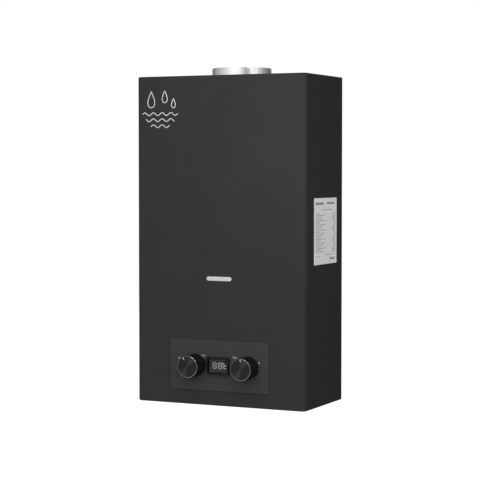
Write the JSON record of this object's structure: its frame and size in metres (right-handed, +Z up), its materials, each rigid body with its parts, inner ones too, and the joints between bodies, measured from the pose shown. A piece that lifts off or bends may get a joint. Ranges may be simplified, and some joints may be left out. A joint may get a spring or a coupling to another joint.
{
  "type": "tankless gas water heater",
  "caption": "Wall-hung tankless gas water heater: folded black case, round flue collar, front panel with knobs and display, burner, copper heat exchanger, linked valves and fittings below.",
  "frame": {"origin": "middle of the rear face that lies on the wall, half way up the case", "axes": "+X right as seen from the front, +Y into the wall, +Z up"},
  "size_m": [0.3403, 0.2094, 0.6312],
  "materials": {
    "case_paint": "satin black powder coat",
    "galvanised_steel": "zinc-coated sheet",
    "collar_steel": "bright rolled sheet",
    "screw_steel": "bright plated",
    "panel_plastic": "satin moulding",
    "bezel_plastic": "polished moulding",
    "display_glass": "smoked clear",
    "board_resin": "lacquered laminate",
    "sight_glass": "frosted clear",
    "label_film": "silver film",
    "knob_plastic": "fine knurled",
    "knob_cap_metal": "dark spun finish",
    "copper": "bare copper",
    "brass": "machined",
    "burner_steel": "stainless pressing",
    "cast_aluminium": "die cast",
    "ceramic": "glazed white",
    "coil_plastic": "moulded",
    "spring_steel": "drawn wire",
    "rubber": "moulded",
    "switch_plastic": "moulded",
    "box_plastic": "moulded",
    "cell_wrap": "printed sleeve left plain",
    "lead_sleeve": "silicone sleeve"
  },
  "bodies": {
    "chassis": {"front_cover": "case_paint", "back_plate": "galvanised_steel", "top_plate": "galvanised_steel", "bottom_plate": "galvanised_steel", "cover_screws": "screw_steel", "control_panel": "panel_plastic", "display_bezel": "bezel_plastic", "display_lens": "display_glass", "display_board": "board_resin", "sight_glass": "sight_glass", "rating_label": "label_film", "spindle_glands": "brass", "flue_collar": "collar_steel", "draft_hood": "galvanised_steel", "heat_exchanger_jacket": "copper", "heat_exchanger_fins": "copper", "heat_exchanger_tube": "copper", "mounting_brackets": "galvanised_steel", "burner_tray": "burner_steel", "burner_bars": "burner_steel", "gas_manifold": "cast_aluminium", "gas_nozzles": "brass", "gas_feed_pipe": "copper", "electrode_bracket": "burner_steel", "electrode_insulators": "ceramic", "flame_sensor": "spring_steel", "ignition_electrode": "spring_steel", "gas_valve_body": "cast_aluminium", "solenoid_coil": "coil_plastic", "solenoid_spring": "spring_steel", "water_valve_body": "brass", "water_valve_cover": "cast_aluminium", "diaphragm": "rubber", "push_rod_spring": "spring_steel", "microswitch": "switch_plastic", "gas_inlet_fitting": "brass", "cold_inlet_fitting": "brass", "hot_outlet_fitting": "brass", "locknuts": "brass", "cold_pipe": "copper", "hot_pipe": "copper", "temperature_sensors": "spring_steel", "control_box": "box_plastic", "battery_box": "box_plastic", "battery_cells": "cell_wrap", "battery_contacts": "spring_steel", "battery_door_pin": "spring_steel", "wiring_leads": "lead_sleeve"},
    "gas_knob": {"gas_knob_barrel": "knob_plastic", "gas_knob_cap": "knob_cap_metal", "gas_spindle": "brass"},
    "water_knob": {"water_knob_barrel": "knob_plastic", "water_knob_cap": "knob_cap_metal", "water_spindle": "brass"},
    "push_rod": {"push_rod": "brass"},
    "flow_lever": {"microswitch_lever": "spring_steel"},
    "gas_plunger": {"solenoid_plunger": "spring_steel"},
    "battery_door": {"battery_door": "box_plastic"},
    "drain_plug": {"drain_plug": "box_plastic"}
  },
  "joints": [
    {"name": "gas_knob_turn", "type": "hinge", "parent": "chassis", "child": "gas_knob", "pos_m": [-0.0462, -0.19, -0.2266], "axis": [0, 1, 0], "range_deg": [-42, 75]},
    {"name": "water_knob_turn", "type": "hinge", "parent": "chassis", "child": "water_knob", "pos_m": [0.0602, -0.19, -0.2266], "axis": [0, 1, 0], "range_deg": [-49, 69]},
    {"name": "push_rod_slide", "type": "slide", "parent": "chassis", "child": "push_rod", "axis": [-1, 0, 0], "range_m": [0, 0.005], "stiffness_N_per_m": 600, "deforming": ["push_rod_spring", "diaphragm"]},
    {"name": "flow_lever_turn", "type": "hinge", "parent": "chassis", "child": "flow_lever", "pos_m": [-0.0082, -0.06, -0.2051], "axis": [0, 1, 0], "range_deg": [0, 20]},
    {"name": "gas_plunger_slide", "type": "slide", "parent": "chassis", "child": "gas_plunger", "axis": [-1, 0, 0], "range_m": [0, 0.004], "stiffness_N_per_m": 400, "deforming": ["solenoid_spring"]},
    {"name": "battery_door_hinge", "type": "hinge", "parent": "chassis", "child": "battery_door", "pos_m": [-0.112, -0.0797, -0.2998], "axis": [1, 0, 0], "range_deg": [0, 90]},
    {"name": "drain_plug_turn", "type": "hinge", "parent": "chassis", "child": "drain_plug", "pos_m": [0.0567, -0.06, -0.3], "axis": [0, 0, 1], "range_deg": [0, 180]}
  ],
  "couplings": [
    {"joint": "flow_lever_turn", "follows": "push_rod_slide", "rad_per_m": 68.97}
  ]
}
